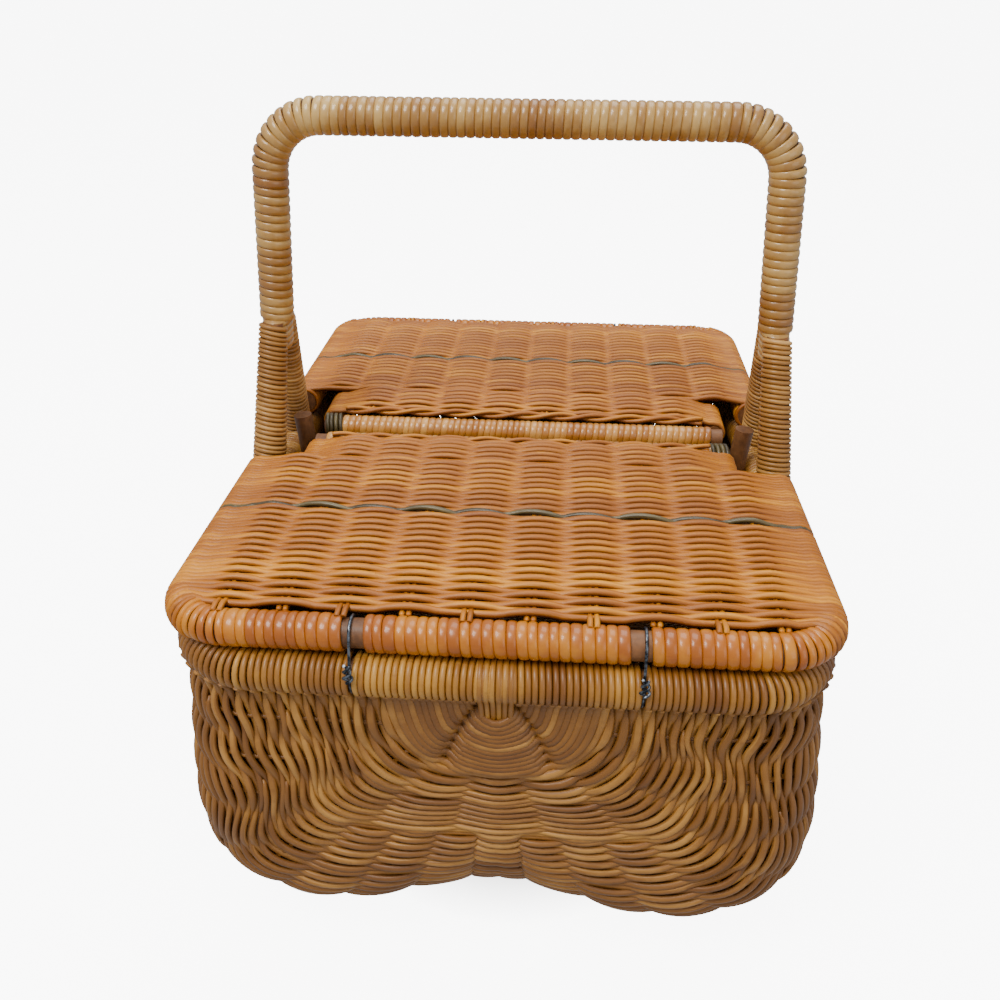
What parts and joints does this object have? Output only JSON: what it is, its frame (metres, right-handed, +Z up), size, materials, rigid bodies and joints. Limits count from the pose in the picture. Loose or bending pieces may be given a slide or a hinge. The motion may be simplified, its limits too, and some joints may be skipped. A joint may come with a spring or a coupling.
{
  "type": "lidded sewing carrier",
  "caption": "Woven reed and cane rib basket with two lobes, a fixed hoop handle and two woven lids that hinge on wire rings at the basket's ends.",
  "frame": {"origin": "on the table under the middle of the basket, at the centre of the bounding box's base", "axes": "+Z up, +Y along the long axis from the front end to the rear end, +X across, to the right of someone facing the front end"},
  "size_m": [0.374, 0.4694, 0.4552],
  "materials": {
    "rattan_rod": "satin bare rattan",
    "body_reed": "satin varnished round reed",
    "lid_reed": "satin varnished round reed, golden",
    "cane_binding": "glossy flat cane",
    "glossy_cane": "glossy varnished flat cane, orange",
    "dark_reed": "satin dyed reed, olive grey",
    "ring_wire": "dull steel wire"
  },
  "bodies": {
    "basket": {"front_ear": "body_reed", "front_left_brace": "rattan_rod", "front_left_brace_wrap": "body_reed", "front_left_hinge_ring": "ring_wire", "front_right_brace": "rattan_rod", "front_right_brace_wrap": "body_reed", "front_right_hinge_ring": "ring_wire", "handle_hoop": "rattan_rod", "handle_wrap": "cane_binding", "left_post": "rattan_rod", "left_rib_1": "rattan_rod", "left_rib_2": "rattan_rod", "left_rib_3": "rattan_rod", "left_rib_4": "rattan_rod", "left_rib_5": "rattan_rod", "left_rib_6": "rattan_rod", "left_rib_7": "rattan_rod", "left_weave": "body_reed", "rear_ear": "body_reed", "rear_left_brace": "rattan_rod", "rear_left_brace_wrap": "body_reed", "rear_left_hinge_ring": "ring_wire", "rear_right_brace": "rattan_rod", "rear_right_brace_wrap": "body_reed", "rear_right_hinge_ring": "ring_wire", "right_post": "rattan_rod", "right_rib_1": "rattan_rod", "right_rib_2": "rattan_rod", "right_rib_3": "rattan_rod", "right_rib_4": "rattan_rod", "right_rib_5": "rattan_rod", "right_rib_6": "rattan_rod", "right_rib_7": "rattan_rod", "right_weave": "body_reed", "rim_hoop": "rattan_rod", "rim_wrap": "body_reed", "spine_rib": "rattan_rod"},
    "front_lid": {"front_lid_border": "lid_reed", "front_lid_corner_lashing": "dark_reed", "front_lid_dark_band": "dark_reed", "front_lid_inner_rod": "rattan_rod", "front_lid_inner_wrap": "cane_binding", "front_lid_outer_rod": "rattan_rod", "front_lid_outer_wrap": "glossy_cane", "front_lid_side_rods": "rattan_rod", "front_lid_side_wraps": "lid_reed", "front_lid_stakes": "lid_reed", "front_lid_weave": "lid_reed"},
    "rear_lid": {"rear_lid_border": "lid_reed", "rear_lid_corner_lashing": "dark_reed", "rear_lid_dark_band": "dark_reed", "rear_lid_inner_rod": "rattan_rod", "rear_lid_inner_wrap": "cane_binding", "rear_lid_outer_rod": "rattan_rod", "rear_lid_outer_wrap": "glossy_cane", "rear_lid_side_rods": "rattan_rod", "rear_lid_side_wraps": "lid_reed", "rear_lid_stakes": "lid_reed", "rear_lid_weave": "lid_reed"}
  },
  "joints": [
    {"name": "front_lid_hinge", "type": "hinge", "parent": "basket", "child": "front_lid", "pos_m": [0, -0.219, 0.2396], "axis": [1, 0, 0], "range_deg": [0, 135]},
    {"name": "rear_lid_hinge", "type": "hinge", "parent": "basket", "child": "rear_lid", "pos_m": [0, 0.219, 0.2396], "axis": [-1, 0, 0], "range_deg": [0, 135]}
  ]
}
